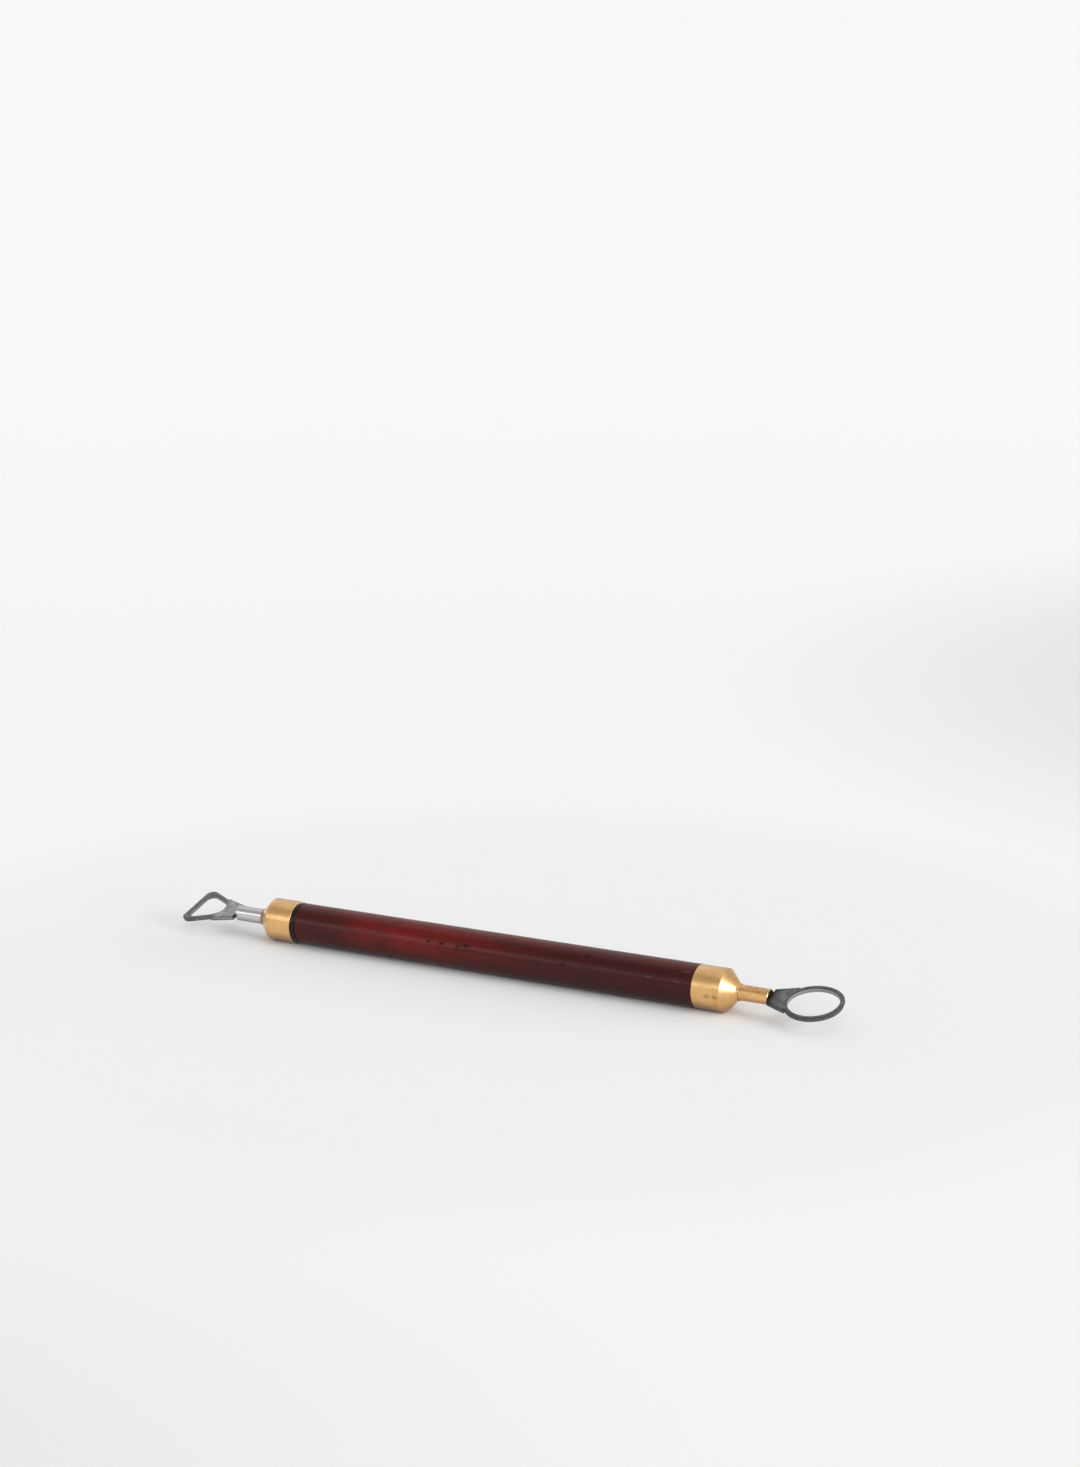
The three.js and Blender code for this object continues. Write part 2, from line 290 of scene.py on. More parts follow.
# Camera: the photograph's viewing angle in degrees, fitted to the tool's outline
PHOTO_HEIGHT_PIXELS = 1467
CAMERA_FOCAL_PIXELS = 3464
CAMERA_SENSOR_MM = 36.0
CAMERA_AZIMUTH = 28.7583
CAMERA_PITCH = 13.0389
CAMERA_AIM = (0.006532, 0.010475, 0.071028)
CAMERA_DISTANCE = 1.0
CAMERA_CLIP_END = 200.0


# Shapes


def linked(name, mesh):
    """A new object of the scene that shows a mesh."""
    made = bpy.data.objects.new(name, mesh)
    bpy.context.scene.collection.objects.link(made)
    return made


def mesh_of(name, shape):
    """A mesh made from a shape, which is used up."""
    mesh = bpy.data.meshes.new(name)
    shape.to_mesh(mesh)
    shape.free()
    return mesh


def shape_of(vertices, faces):
    """A shape from vertices and from faces that list them by number."""
    shape = bmesh.new()
    made = [shape.verts.new(vertex) for vertex in vertices]
    for face in faces:
        shape.faces.new([made[i] for i in face])
    return shape


def finished(name, shape, material, replaced):
    """A closed shape as a smooth-shaded piece that stands for CAD nodes."""
    bmesh.ops.remove_doubles(shape, verts=shape.verts, dist=MERGE_DISTANCE)
    bmesh.ops.recalc_face_normals(shape, faces=shape.faces)
    mesh = mesh_of(name, shape)
    mesh.shade_smooth()
    mesh.set_sharp_from_angle(angle=SHARP_ANGLE)
    piece = linked(name, mesh)
    weighted = piece.modifiers.new("even_shading", "WEIGHTED_NORMAL")
    weighted.keep_sharp = True
    mesh.materials.append(material)
    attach(piece, ROOT)
    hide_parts(*replaced)
    return piece


def rounded(corners, closed):
    """Points of a path whose corners (x, y, rounding) are replaced by arcs."""
    count = len(corners)
    path = []
    for i, (x, y, rounding) in enumerate(corners):
        here = Vector((x, y))
        ends = not closed and i in (0, count - 1)
        if rounding <= 0 or ends:
            path.append(here)
            continue
        before = Vector(corners[i - 1][:2]) - here
        after = Vector(corners[(i + 1) % count][:2]) - here
        half = before.angle(after) / 2
        longest = LONGEST_REACH * min(before.length, after.length)
        reach = min(rounding / math.tan(half), longest)
        radius = reach * math.tan(half)
        inwards = (before.normalized() + after.normalized()).normalized()
        middle = here + inwards * (radius / math.sin(half))
        start = here + before.normalized() * reach - middle
        turn = start.angle_signed(here + after.normalized() * reach - middle)
        for step in range(ARC_STEPS + 1):
            arm = start.copy()
            arm.rotate(Matrix.Rotation(-turn * step / ARC_STEPS, 2))
            path.append(middle + arm)
    return path


def lathe(path, closed, sides=TURNED_SIDES, radial_shift=None):
    """A shape turned about the tool's axis from a path (x, radius)."""
    vertices, rings, faces = [], [], []
    for x, radius in path:
        if radius < ON_AXIS:
            rings.append([len(vertices)])
            vertices.append((x, 0.0, AXIS_HEIGHT))
            continue
        ring = []
        for side in range(sides):
            angle = math.tau * side / sides
            shifted = radius + (radial_shift(x, angle) if radial_shift else 0.0)
            ring.append(len(vertices))
            vertices.append((x, shifted * math.cos(angle), AXIS_HEIGHT + shifted * math.sin(angle)))
        rings.append(ring)
    pairs = list(zip(rings, rings[1:]))
    if closed:
        pairs.append((rings[-1], rings[0]))
    for one, two in pairs:
        for side in range(sides):
            following = (side + 1) % sides
            if len(one) == 1:
                faces.append((one[0], two[side], two[following]))
            elif len(two) == 1:
                faces.append((one[side], two[0], one[following]))
            else:
                faces.append((one[side], two[side], two[following], one[following]))
    return shape_of(vertices, faces)


def in_metres(corners, origin, direction):
    """Corners given in millimetres from a place, pointing along +X or -X."""
    return [(origin + direction * x * MM, y * MM, r * MM) for x, y, r in corners]


def rolled_at(end):
    """The place of a shank's end on the axis, rolled as the cutters are."""
    return Matrix.Translation((end, 0, AXIS_HEIGHT)) @ Matrix.Rotation(CUTTER_ROLL, 4, "X")


def arc(middle, radius, start, end, steps):
    """Points of an arc about a middle, from one angle to another."""
    points = []
    for step in range(steps + 1):
        angle = start + (end - start) * step / steps
        x = middle[0] + radius * math.cos(angle)
        y = middle[1] + radius * math.sin(angle)
        points.append(Vector((x, y)))
    return points


def quadratic(start, control, end, steps):
    """Points of a quadratic curve between two points."""
    points = []
    for step in range(steps + 1):
        share = step / steps
        points.append(start.lerp(control, share).lerp(control.lerp(end, share), share))
    return points


def inset(points, width):
    """A closed anticlockwise outline moved inwards, by one width or by one for each point."""
    widths = width if isinstance(width, list) else [width] * len(points)
    moved = []
    for i, here in enumerate(points):
        before = (here - points[i - 1]).normalized()
        after = (points[(i + 1) % len(points)] - here).normalized()
        left_before = Vector((-before.y, before.x))
        left_after = Vector((-after.y, after.x))
        middle = (left_before + left_after).normalized()
        moved.append(here + middle * (widths[i] / max(SHARPEST_CORNER, middle.dot(left_before))))
    return moved


# Nodes


def feed(tree, socket, value):
    """Links a socket, or sets it to a constant."""
    if isinstance(value, bpy.types.NodeSocket):
        tree.links.new(value, socket)
    else:
        socket.default_value = value


def feed_all(tree, target, values):
    """Feeds inputs of a node by name or number."""
    for key, value in values.items():
        feed(tree, target.inputs[key], value)


def node(tree, kind, inputs=None, **settings):
    """A new node with its settings and inputs."""
    made = tree.nodes.new(kind)
    for key, value in settings.items():
        setattr(made, key, value)
    feed_all(tree, made, inputs or {})
    return made


def calculate(tree, operation, a, b=0.0):
    """Result of an operation on two values."""
    return node(tree, "ShaderNodeMath", {0: a, 1: b}, operation=operation).outputs[0]


def vector(tree, operation, a, b):
    """Vector that an operation makes of two vectors."""
    return node(tree, "ShaderNodeVectorMath", {0: a, 1: b}, operation=operation).outputs["Vector"]


def reach_along(tree, direction, axis):
    """How far a direction reaches along an axis, both of length 1."""
    made = node(tree, "ShaderNodeVectorMath", {0: direction, 1: axis}, operation="DOT_PRODUCT")
    return made.outputs["Value"]


def place(tree, stretch, origin_mm=(0.0, 0.0, 0.0)):
    """Object coordinates in millimetres from an origin, stretched on each axis."""
    texture = node(tree, "ShaderNodeTexCoord").outputs["Object"]
    moved = vector(tree, "ADD", texture, tuple(-x * MM for x in origin_mm))
    return vector(tree, "MULTIPLY", moved, tuple(s / MM for s in stretch))


def coordinate(tree, axis, origin_mm=(0.0, 0.0, 0.0), stretch=(1.0, 1.0, 1.0)):
    """One object coordinate, in millimetres from an origin."""
    return node(tree, "ShaderNodeSeparateXYZ", {0: place(tree, stretch, origin_mm)}).outputs[axis]


def away_from(tree, point_mm, stretch):
    """Distance from a point in millimetres, with each axis stretched."""
    offset = place(tree, stretch, point_mm)
    return node(tree, "ShaderNodeVectorMath", {0: offset}, operation="LENGTH").outputs["Value"]


def cloud(tree, stretch, origin_mm=(0.0, 0.0, 0.0), detail=3.0, roughness=0.55):
    """Noise from 0 to 1 whose cells are one over the stretch, in millimetres."""
    inputs = {
        "Vector": place(tree, stretch, origin_mm),
        "Scale": 1.0,
        "Detail": detail,
        "Roughness": roughness,
    }
    return node(tree, "ShaderNodeTexNoise", inputs).outputs["Fac"]


def spread(tree, value, low, high, to_low=0.0, to_high=1.0):
    """A value between low and high spread smoothly over a new range."""
    inputs = {"Value": value, "From Min": low, "From Max": high, "To Min": to_low, "To Max": to_high}
    made = node(tree, "ShaderNodeMapRange", inputs, interpolation_type="SMOOTHSTEP")
    return made.outputs["Result"]


def near(tree, point_mm, radius_mm, stretch):
    """1 at a point of the frame, falling to 0 at a radius."""
    return spread(tree, away_from(tree, point_mm, stretch), 0.0, radius_mm, 1.0, 0.0)


def colour(red, green, blue):
    """Linear colour of a screen colour."""
    channels = []
    for value in (red, green, blue):
        share = value / 255
        channels.append(share / 12.92 if share <= 0.04045 else ((share + 0.055) / 1.055) ** 2.4)
    return (*channels, 1.0)


def mixed(tree, share, one, two):
    """A colour between two colours."""
    made = node(tree, "ShaderNodeMix", data_type="RGBA")
    feed_all(tree, made, {0: share, 6: one, 7: two})
    return made.outputs[2]


def between(tree, tones, share):
    """A colour between two tones."""
    return mixed(tree, share, colour(*tones[0]), colour(*tones[1]))


def layer(tree, base, tone, share):
    """A base colour with a share of a tone over it."""
    return mixed(tree, share, base, colour(*tone))


def spotted(tree, base, spots, tone, share):
    """A base colour with soft spots of another tone, each a point and a radius in millimetres."""
    for point_mm, radius_mm in spots:
        spot = near(tree, point_mm, radius_mm, SPOT_STRETCH)
        base = layer(tree, base, tone, calculate(tree, "MULTIPLY", spot, share))
    return base


def bump(tree, shader, height, strength, distance_mm, socket="Normal"):
    """A fine relief on one of the shader's surfaces."""
    inputs = {"Height": height, "Strength": strength, "Distance": distance_mm * MM}
    made = node(tree, "ShaderNodeBump", inputs)
    tree.links.new(made.outputs["Normal"], shader.inputs[socket])


def blank(name):
    """A new material, its node tree and its shader."""
    material = bpy.data.materials.new(name)
    material.use_nodes = True
    return material, material.node_tree, material.node_tree.nodes["Principled BSDF"]


# Materials


def on_handle(x_mm, angle):
    """Point just under the handle's surface, in millimetres, at an angle from +Y up."""
    radius = FERRULE_RADIUS / MM - MARK_DEPTH_MM
    turn = math.radians(angle)
    return (x_mm, radius * math.cos(turn), AXIS_HEIGHT / MM + radius * math.sin(turn))


def hardwood():
    """Red-brown oiled hardwood: redder in a stretch left of the middle, its red fading downwards as
    painted shade, painted light on top, painted shade below, darker to the right, with patches, streaks,
    fibres and pores, a few pale marks, two of them painted glints, and pits darkened with painted shade."""
    material, tree, shader = blank("hardwood")
    along = coordinate(tree, "X")
    height = coordinate(tree, "Z")
    figure = cloud(tree, (0.05, 0.16, 0.16), (3.0, 0.0, 0.0), detail=4.0)
    patches = cloud(tree, (0.12, 0.3, 0.3), detail=5.0)
    streaks = cloud(tree, (0.05, 0.9, 0.9), detail=5.0, roughness=0.62)
    fibres = cloud(tree, (0.22, 4.5, 4.5), detail=3.0)
    pores = spread(tree, cloud(tree, (0.7, 4.5, 4.5), (7.0, 2.0, 5.0), detail=1.0), 0.68, 0.76)
    rise = spread(tree, along, *RED_RISE_MM)
    fall = spread(tree, along, *RED_FALL_MM, 1.0, 0.0)
    ragged = calculate(tree, "ADD", height, spread(tree, figure, 0.3, 0.7, -2.5, 2.5))
    # The red fades towards the bottom as painted shade.
    upwards = spread(tree, ragged, *RED_HEIGHT_MM, 0.2, 1.0)
    red = calculate(tree, "MULTIPLY", calculate(tree, "MULTIPLY", rise, fall), upwards)
    base = between(tree, WOOD_TONES, spread(tree, along, *WOOD_CHANGE_MM))
    base = layer(tree, base, RED_TONE, red)
    # Painted light on the top.
    base = layer(tree, base, WOOD_PAINTED_LIGHT_TONE, spread(tree, height, *WOOD_PAINTED_LIGHT_MM, 0.0, 0.55))
    # Painted shade towards the bottom.
    base = layer(tree, base, WOOD_PAINTED_SHADE_TONE, spread(tree, height, *WOOD_PAINTED_SHADE_MM, 0.5, 0.0))
    base = layer(tree, base, PATCH_TONE, spread(tree, patches, 0.46, 0.66, 0.0, 0.4))
    base = layer(tree, base, STREAK_TONE, spread(tree, streaks, 0.42, 0.75, 0.0, 0.6))
    base = layer(tree, base, FIBRE_TONE, spread(tree, fibres, 0.52, 0.8, 0.0, 0.3))
    base = layer(tree, base, PORE_TONE, pores)
    # Pale marks, two of them painted glints.
    for x_mm, angle, radius_mm in PALE_MARKS_AND_GLINTS:
        mark = near(tree, on_handle(x_mm, angle), radius_mm, PALE_MARK_STRETCH)
        base = layer(tree, base, PALE_MARK_AND_GLINT_TONE, calculate(tree, "MULTIPLY", mark, 0.22))
    # Pits darkened with painted shade, and with less coat.
    pits = None
    for x_mm, angle, radius_mm in PITS:
        pit = near(tree, on_handle(x_mm, angle), radius_mm, PIT_STRETCH)
        pits = pit if pits is None else calculate(tree, "MAXIMUM", pits, pit)
    coat = calculate(tree, "SUBTRACT", 1.0, calculate(tree, "MULTIPLY", pits, 0.8))
    looks = {
        "Base Color": layer(tree, base, PIT_PAINTED_SHADE_TONE, pits),
        "Roughness": spread(tree, patches, 0.3, 0.7, 0.35, 0.5),
        "Specular IOR Level": 0.0,
        "Coat Weight": coat,
        "Coat Roughness": spread(tree, patches, 0.35, 0.65, 0.15, 0.24),
        "Coat IOR": 1.33,
    }
    feed_all(tree, shader, looks)
    peel = cloud(tree, (0.4, 1.0, 1.0), detail=3.0)
    grain = calculate(tree, "SUBTRACT", calculate(tree, "ADD", peel, fibres), pores)
    bump(tree, shader, grain, 0.3, 0.04)
    bump(tree, shader, grain, 0.5, 0.05, "Coat Normal")
    return material


def black_ring():
    """Glossy black plastic."""
    material, tree, shader = blank("black_ring")
    haze = cloud(tree, (0.6, 0.8, 0.8), detail=3.0)
    looks = {
        "Base Color": between(tree, RING_TONES, haze),
        "Roughness": spread(tree, haze, 0.3, 0.7, 0.08, 0.14),
        "Specular IOR Level": 0.25,
    }
    feed_all(tree, shader, looks)
    bump(tree, shader, haze, 0.1, 0.02)
    return material


def lacquered_brass(tree, shader, base, roughness):
    """Brass under a thin clear lacquer, which turns its highlights whiter."""
    looks = {
        "Base Color": base,
        "Roughness": roughness,
        "Metallic": 1.0,
        "Coat Weight": 1.0,
        "Coat Roughness": 0.2,
        "Coat IOR": 1.5,
    }
    feed_all(tree, shader, looks)


def turned_brass(name, edge_mm, direction, cone_shade_share, smudges):
    """Lathe-turned brass: fine rings round the axis, darker grooves before the cone's edge, a share of
    painted shade on the cone and the neck, painted shade on the underside and brown smudges."""
    material, tree, shader = blank(name)
    rings = cloud(tree, (1.8, 0.02, 0.02), detail=2.0)
    tarnish = cloud(tree, (0.2, 0.3, 0.3), (1.0, 4.0, 2.0), detail=3.0)
    past_edge = coordinate(tree, "X", (edge_mm, 0.0, 0.0), (direction, 1.0, 1.0))
    # Painted shade on the underside, darker towards the floor.
    underside = spread(tree, coordinate(tree, "Z"), *FERRULE_PAINTED_SHADE_MM, 0.8, 0.0)
    base = between(tree, TURNED_TONES, spread(tree, tarnish, 0.35, 0.7))
    base = layer(tree, base, TURNING_TONE, spread(tree, rings, 0.42, 0.7, 0.0, 0.5))
    for before_mm in TURNING_GROOVES_MM:
        apart = calculate(tree, "ABSOLUTE", calculate(tree, "ADD", past_edge, before_mm))
        base = layer(tree, base, GROOVE_TONE, spread(tree, apart, *GROOVE_FADE_MM, 0.4, 0.0))
    # Painted shade on the cone and the neck, the left ferrule only.
    base = layer(tree, base, CONE_PAINTED_SHADE_TONE, spread(tree, past_edge, *CONE_STRETCH_MM, 0.0, cone_shade_share))
    base = layer(tree, base, NECK_PAINTED_SHADE_TONE, spread(tree, past_edge, *NECK_STRETCH_MM, 0.0, cone_shade_share))
    base = layer(tree, base, FERRULE_PAINTED_SHADE_TONE, underside)
    base = spotted(tree, base, smudges, SMUDGE_TONE, 0.55)
    lacquered_brass(tree, shader, base, spread(tree, tarnish, 0.3, 0.75, 0.28, 0.31))
    bump(tree, shader, rings, 0.05, 0.02)
    return material


def above_axis(tree):
    """Height above the tool's axis, in millimetres."""
    return coordinate(tree, "Z", (0.0, 0.0, AXIS_HEIGHT / MM))


def drawn_brass(shank_end_mm):
    """Drawn brass rod: lengthwise streaks, brown heat stains on top, painted shade on the underside and a
    dark end.
    """
    material, tree, shader = blank("brass_rod")
    streaks = cloud(tree, (0.12, 2.6, 2.6), (5.0, 1.0, 2.0), detail=5.0, roughness=0.6)
    tarnish = cloud(tree, (0.3, 0.7, 0.7), (1.0, 4.0, 2.0), detail=4.0)
    spots = spread(tree, cloud(tree, (0.55, 0.8, 0.8), (2.0, 3.0, 0.0), detail=3.0), 0.46, 0.6)
    inwards = coordinate(tree, "X", (shank_end_mm, 0.0, 0.0), (-1.0, 1.0, 1.0))
    height = above_axis(tree)
    heat = calculate(tree, "MULTIPLY", spots, spread(tree, height, *HEAT_HEIGHT_MM, 0.0, 0.2))
    base = between(tree, DRAWN_TONES, spread(tree, tarnish, 0.35, 0.7))
    base = layer(tree, base, DRAWN_STREAK_TONE, spread(tree, streaks, 0.48, 0.75, 0.0, 0.6))
    base = layer(tree, base, HEAT_TONE, heat)
    base = spotted(tree, base, ROD_STAINS, ROD_STAIN_TONE, 0.5)
    # Painted shade on the underside.
    base = layer(tree, base, BRASS_PAINTED_SHADE_TONE, spread(tree, height, *BRASS_PAINTED_SHADE_MM, 0.8, 0.0))
    base = layer(tree, base, BRASS_END_TONE, spread(tree, inwards, *BRASS_END_MM, 0.9, 0.0))
    lacquered_brass(tree, shader, base, spread(tree, streaks, 0.3, 0.7, 0.2, 0.28))
    bump(tree, shader, streaks, 0.2, 0.02)
    return material


def polished_steel():
    """Polished steel rod with fine turning rings, faint lengthwise scratches and painted shade on the
    underside.
    """
    material, tree, shader = blank("polished_steel")
    rings = cloud(tree, (6.0, 0.05, 0.05), detail=3.0)
    scratches = cloud(tree, (0.2, 4.0, 4.0), detail=4.0, roughness=0.6)
    # Painted shade on the underside.
    underside = spread(tree, above_axis(tree), *STEEL_PAINTED_SHADE_MM, 0.8, 0.0)
    base = between(tree, STEEL_TONES, spread(tree, scratches, 0.4, 0.75))
    looks = {
        "Base Color": layer(tree, base, STEEL_PAINTED_SHADE_TONE, underside),
        "Metallic": 1.0,
        "Roughness": spread(tree, scratches, 0.3, 0.7, 0.15, 0.2),
    }
    feed_all(tree, shader, looks)
    bump(tree, shader, rings, 0.05, 0.01)
    return material


def cutter_metal(name, shank_end_mm, direction, tones, shades, stain_mm):
    """Ground cutter plate: mottled grey, with painted light on the bores, painted shade on the rims and
    the front, a darker loop, and a heat stain at the shank."""
    material, tree, shader = blank(name)
    rim_tone, bore_painted_tone = tones[2:]
    front_painted_shade, loop_shade = shades
    mottle = cloud(tree, (0.5, 0.5, 0.5), detail=5.0, roughness=0.6)
    grind = cloud(tree, (0.8, 3.0, 3.0), (2.0, 5.0, 1.0), detail=4.0)
    across = calculate(tree, "ADD", coordinate(tree, "Y"), spread(tree, mottle, 0.2, 0.8, -1.5, 1.5))
    outwards = coordinate(tree, "X", (shank_end_mm, 0.0, 0.0), (direction, 1.0, 1.0))
    along = calculate(tree, "ADD", outwards, spread(tree, mottle, 0.2, 0.8, -0.4, 0.4))
    bore = node(tree, "ShaderNodeAttribute", attribute_name="bore").outputs["Fac"]
    rim = node(tree, "ShaderNodeAttribute", attribute_name="rim").outputs["Fac"]
    base = between(tree, tones[:2], spread(tree, mottle, 0.3, 0.7))
    # Painted shade on the front.
    base = layer(tree, base, rim_tone, spread(tree, across, *CUTTER_FRONT_SHADE_MM, front_painted_shade, 0.0))
    base = layer(tree, base, rim_tone, spread(tree, along, *CUTTER_LOOP_MM, 0.0, loop_shade))
    # Painted light on the bores' walls.
    base = layer(tree, base, bore_painted_tone, calculate(tree, "MULTIPLY", bore, 0.6))
    # Painted shade along the rims.
    base = layer(tree, base, rim_tone, calculate(tree, "MULTIPLY", rim, 0.75))
    base = layer(tree, base, CUTTER_STAIN_TONE, spread(tree, along, *stain_mm, 0.9, 0.0))
    looks = {
        "Base Color": base,
        "Metallic": 1.0,
        "Roughness": spread(tree, mottle, 0.3, 0.7, 0.36, 0.5),
    }
    feed_all(tree, shader, looks)
    bump(tree, shader, calculate(tree, "ADD", mottle, grind), 0.3, 0.03)
    return material


def pale_floor():
    """Pale paper, with painted shade round the tool and at two places beside it."""
    material, tree, shader = blank("pale_floor")
    flat = (1.0, 1.0, 0.0)
    near_tool, round_it, far_off = FLOOR_BRIGHTNESS
    away = away_from(tree, (0.0, 0.0, 0.0), flat)
    # Painted shade: darker near the tool.
    level = spread(tree, away, *FLOOR_ROUND_MM, near_tool, round_it)
    level = calculate(tree, "ADD", level, spread(tree, away, *FLOOR_FAR_MM, 0.0, far_off - round_it))
    # Patches of painted shade.
    for place_mm, inner_mm, outer_mm, depth in FLOOR_PAINTED_SHADES:
        shade = spread(tree, away_from(tree, place_mm, flat), inner_mm, outer_mm, depth, 0.0)
        level = calculate(tree, "SUBTRACT", level, shade)
    grey = node(tree, "ShaderNodeCombineColor", {"Red": level, "Green": level, "Blue": level})
    looks = {
        "Base Color": grey.outputs["Color"],
        "Roughness": FLOOR_ROUGHNESS,
        "Specular IOR Level": 0.0,
    }
    feed_all(tree, shader, looks)
    return material


# Pieces


def handle_dents():
    """Dents by place, angle, half length, half width and depth: those seen, then random ones."""
    dents = []
    for x, angle, length, depth in DENTS:
        dents.append((x * MM, math.radians(angle), length * MM, DENT_HALF_WIDTH_MM * MM, depth * MM))
    dice = random.Random(RANDOM_SEED)
    for _ in range(RANDOM_DENTS):
        x = dice.uniform(SHOULDER_LEFT, RIM_RIGHT)
        angle = dice.uniform(-math.pi, math.pi)
        length = dice.uniform(*RANDOM_HALF_LENGTHS_MM) * MM
        width = dice.uniform(*RANDOM_HALF_WIDTHS_MM) * MM
        depth = dice.uniform(*RANDOM_DEPTHS_MM) * MM
        dents.append((x, angle, length, width, depth))
    return dents


def handle_shift(dents):
    """Radial shift of the wood's surface: a faint waviness and a few small dents."""
    plain = PLAIN_END_MM * MM

    def shift(x, angle):
        if not SHOULDER_LEFT + plain < x < RIM_RIGHT - plain:
            return 0.0
        around = Vector((x * WAVES_ALONG, math.cos(angle) * WAVES_AROUND, math.sin(angle) * WAVES_AROUND))
        wave = -WAVE_DEPTH_MM * MM * (1 + noise.noise(around))
        for dent_x, dent_angle, length, width, depth in dents:
            across = (math.remainder(angle - dent_angle, math.tau) * FERRULE_RADIUS) / width
            apart = math.hypot((x - dent_x) / length, across)
            if apart < 1:
                wave -= depth * (1 - apart * apart) ** 2
        return wave

    return shift


def make_handle(material):
    """The wooden bar with a tenon and a blind bore at each end."""
    right = FERRULE_RADIUS
    left = FERRULE_RADIUS - HANDLE_STEP_LEFT_MM * MM
    tenon = FERRULE_RADIUS - (FERRULE_WALL_MM + GLUE_GAP_MM) * MM
    bore = (SHANK_RADIUS_MM + GLUE_GAP_MM) * MM
    reach = TENON_REACH_MM * MM
    deep = BORE_DEPTH_MM * MM
    edge = HANDLE_ROUNDING_MM * MM
    end_right = RIM_RIGHT + reach
    end_left = RIM_LEFT - reach
    inner_right = [(RIM_RIGHT - deep, 0, 0), (RIM_RIGHT - deep, bore, 0), (end_right, bore, 0)]
    outer_right = [(end_right, tenon, edge), (RIM_RIGHT, tenon, 0), (RIM_RIGHT, right, edge)]
    outer_left = [(SHOULDER_LEFT, left, edge), (SHOULDER_LEFT, tenon, 0), (end_left, tenon, edge)]
    inner_left = [(end_left, bore, 0), (SHOULDER_LEFT + deep, bore, 0), (SHOULDER_LEFT + deep, 0, 0)]
    path = rounded(inner_right + outer_right + outer_left + inner_left, closed=False)
    fine = []
    for one, two in zip(path, path[1:]):
        fine.append(one)
        if abs(two.x - one.x) > (RIM_RIGHT - SHOULDER_LEFT) / 2:
            fine += [one.lerp(two, step / HANDLE_STATIONS) for step in range(1, HANDLE_STATIONS)]
    fine.append(path[-1])
    shape = lathe(fine, closed=False, radial_shift=handle_shift(handle_dents()))
    finished("wood_handle", shape, material, ["handle"])


def make_spacer(material):
    """The ring on the left tenon, flush with the wood."""
    inner = FERRULE_RADIUS - FERRULE_WALL_MM * MM
    outer = FERRULE_RADIUS - HANDLE_STEP_LEFT_MM * MM
    soft = RING_ROUNDING_MM * MM
    corners = [
        (RIM_LEFT, inner, 0),
        (SHOULDER_LEFT, inner, 0),
        (SHOULDER_LEFT, outer, soft),
        (RIM_LEFT, outer, soft),
    ]
    shape = lathe(rounded(corners, closed=True), closed=True)
    finished("black_spacer_ring", shape, material, ["spacer_ring"])


def make_ferrule(name, replaced, rim, direction, material):
    """A turned cap: cylinder with two fine grooves, cone and neck, socket and shank hole."""
    outer = FERRULE_RADIUS / MM
    socket = outer - FERRULE_WALL_MM
    hole = SHANK_RADIUS_MM + GLUE_GAP_MM
    cylinder = FERRULE_CYLINDER_MM
    tip = FERRULE_LENGTH / MM
    inside = TENON_REACH_MM + END_GAP_MM
    corners = [(0, socket, 0), (0, outer, FERRULE_RIM_ROUNDING_MM)]
    for before in TURNING_GROOVES_MM:
        middle = cylinder - before
        corners.append((middle - GROOVE_WIDTH_MM / 2, outer, GROOVE_ROUNDING_MM))
        corners.append((middle, outer - GROOVE_DEPTH_MM, GROOVE_ROUNDING_MM))
        corners.append((middle + GROOVE_WIDTH_MM / 2, outer, GROOVE_ROUNDING_MM))
    corners += [
        (cylinder, outer, CONE_EDGE_ROUNDING_MM),
        (cylinder + FERRULE_CONE_MM, NECK_RADIUS_MM, CONE_END_ROUNDING_MM),
        (tip, NECK_RADIUS_MM, FERRULE_RIM_ROUNDING_MM),
        (tip, hole, 0),
        (inside, hole, 0),
        (inside, socket, 0),
    ]
    shape = lathe(rounded(in_metres(corners, rim, direction), closed=True), closed=True)
    finished(name, shape, material, [replaced])


def make_shank(name, replaced, end, direction, material):
    """A rod whose outer end has a mortise for the cutter's tongue."""
    low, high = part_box(replaced)
    length = (high.x - low.x) / MM
    radius = SHANK_RADIUS_MM
    chamfer = SHANK_CHAMFER_MM
    corners = [
        (0, 0, 0),
        (0, radius - chamfer, SHANK_FACE_ROUNDING_MM),
        (-chamfer, radius, SHANK_SIDE_ROUNDING_MM),
        (chamfer - length, radius, 0),
        (-length, radius - chamfer, 0),
        (-length, 0, 0),
    ]
    path = rounded(in_metres(corners, end, direction), closed=False)
    piece = finished(name, lathe(path, closed=False, sides=SHANK_SIDES), material, [replaced])
    width = 2 * (radius - MORTISE_WALL_MM)
    thickness = PLATE_THICKNESS_MM + 2 * BRAZE_GAP_MM
    mortise = Vector((2 * MORTISE_DEPTH_MM, width, thickness)) * MM
    cut_away(piece, mortise, rolled_at(end))


def cut_away(piece, size, at):
    """Cuts a box out of a piece and keeps the result as its mesh."""
    shape = bmesh.new()
    bmesh.ops.create_cube(shape, size=1.0, matrix=at @ Matrix.Diagonal((*size, 1)))
    box = linked("box", mesh_of("box", shape))
    piece.modifiers.clear()
    cut = piece.modifiers.new("cut", "BOOLEAN")
    cut.object = box
    cut.solver = "EXACT"
    mesh = bpy.data.meshes.new_from_object(piece.evaluated_get(bpy.context.evaluated_depsgraph_get()))
    piece.modifiers.clear()
    piece.data = mesh
    mesh.set_sharp_from_angle(angle=SHANK_SHARP_ANGLE)
    bpy.data.objects.remove(box)


